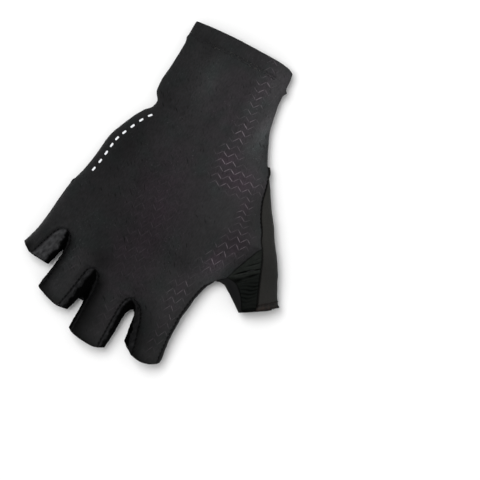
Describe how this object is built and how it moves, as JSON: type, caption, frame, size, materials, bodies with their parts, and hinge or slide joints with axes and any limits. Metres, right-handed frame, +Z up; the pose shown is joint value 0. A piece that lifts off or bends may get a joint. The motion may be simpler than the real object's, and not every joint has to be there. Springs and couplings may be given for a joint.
{
  "type": "short-finger glove",
  "caption": "Right-hand short-finger sport glove lying palm down: knit back with a zigzag pattern, gusseted thumb, gripper palm with pads, elastic wrist.",
  "frame": {"origin": "centre of the lying glove's box, on the surface that it lies on", "axes": "+X towards the thumb, +Y from the finger hems to the cuff, +Z up from the palm to the back of the hand"},
  "size_m": [0.143, 0.188, 0.0207],
  "materials": {
    "knit_back": "fine warp-knit, slightly silky, with a faint zigzag pattern",
    "palm_suede": "matt synthetic suede",
    "thumb_fleece": "soft brushed knit",
    "side_stretch": "smooth stretch knit",
    "gusset_stretch": "thin gathered stretch knit",
    "pad_suede": "padded synthetic suede with a silver gripper print"
  },
  "bodies": {
    "root": {"back_panel": "knit_back", "cuff_hem": "knit_back", "palm_panel": "palm_suede", "pinky_ring_fourchette": "side_stretch", "ring_middle_fourchette": "side_stretch", "middle_index_fourchette": "side_stretch", "index_side_panel": "palm_suede", "thumb_outer_panel": "thumb_fleece", "thumb_gusset": "gusset_stretch", "thumb_inner_panel": "palm_suede", "hypothenar_pad": "pad_suede", "thenar_pad": "pad_suede", "ring_pull_tab": "palm_suede", "middle_pull_tab": "palm_suede", "tab_bridge": "palm_suede", "wrist_pull_tab": "palm_suede"}
  },
  "joints": []
}
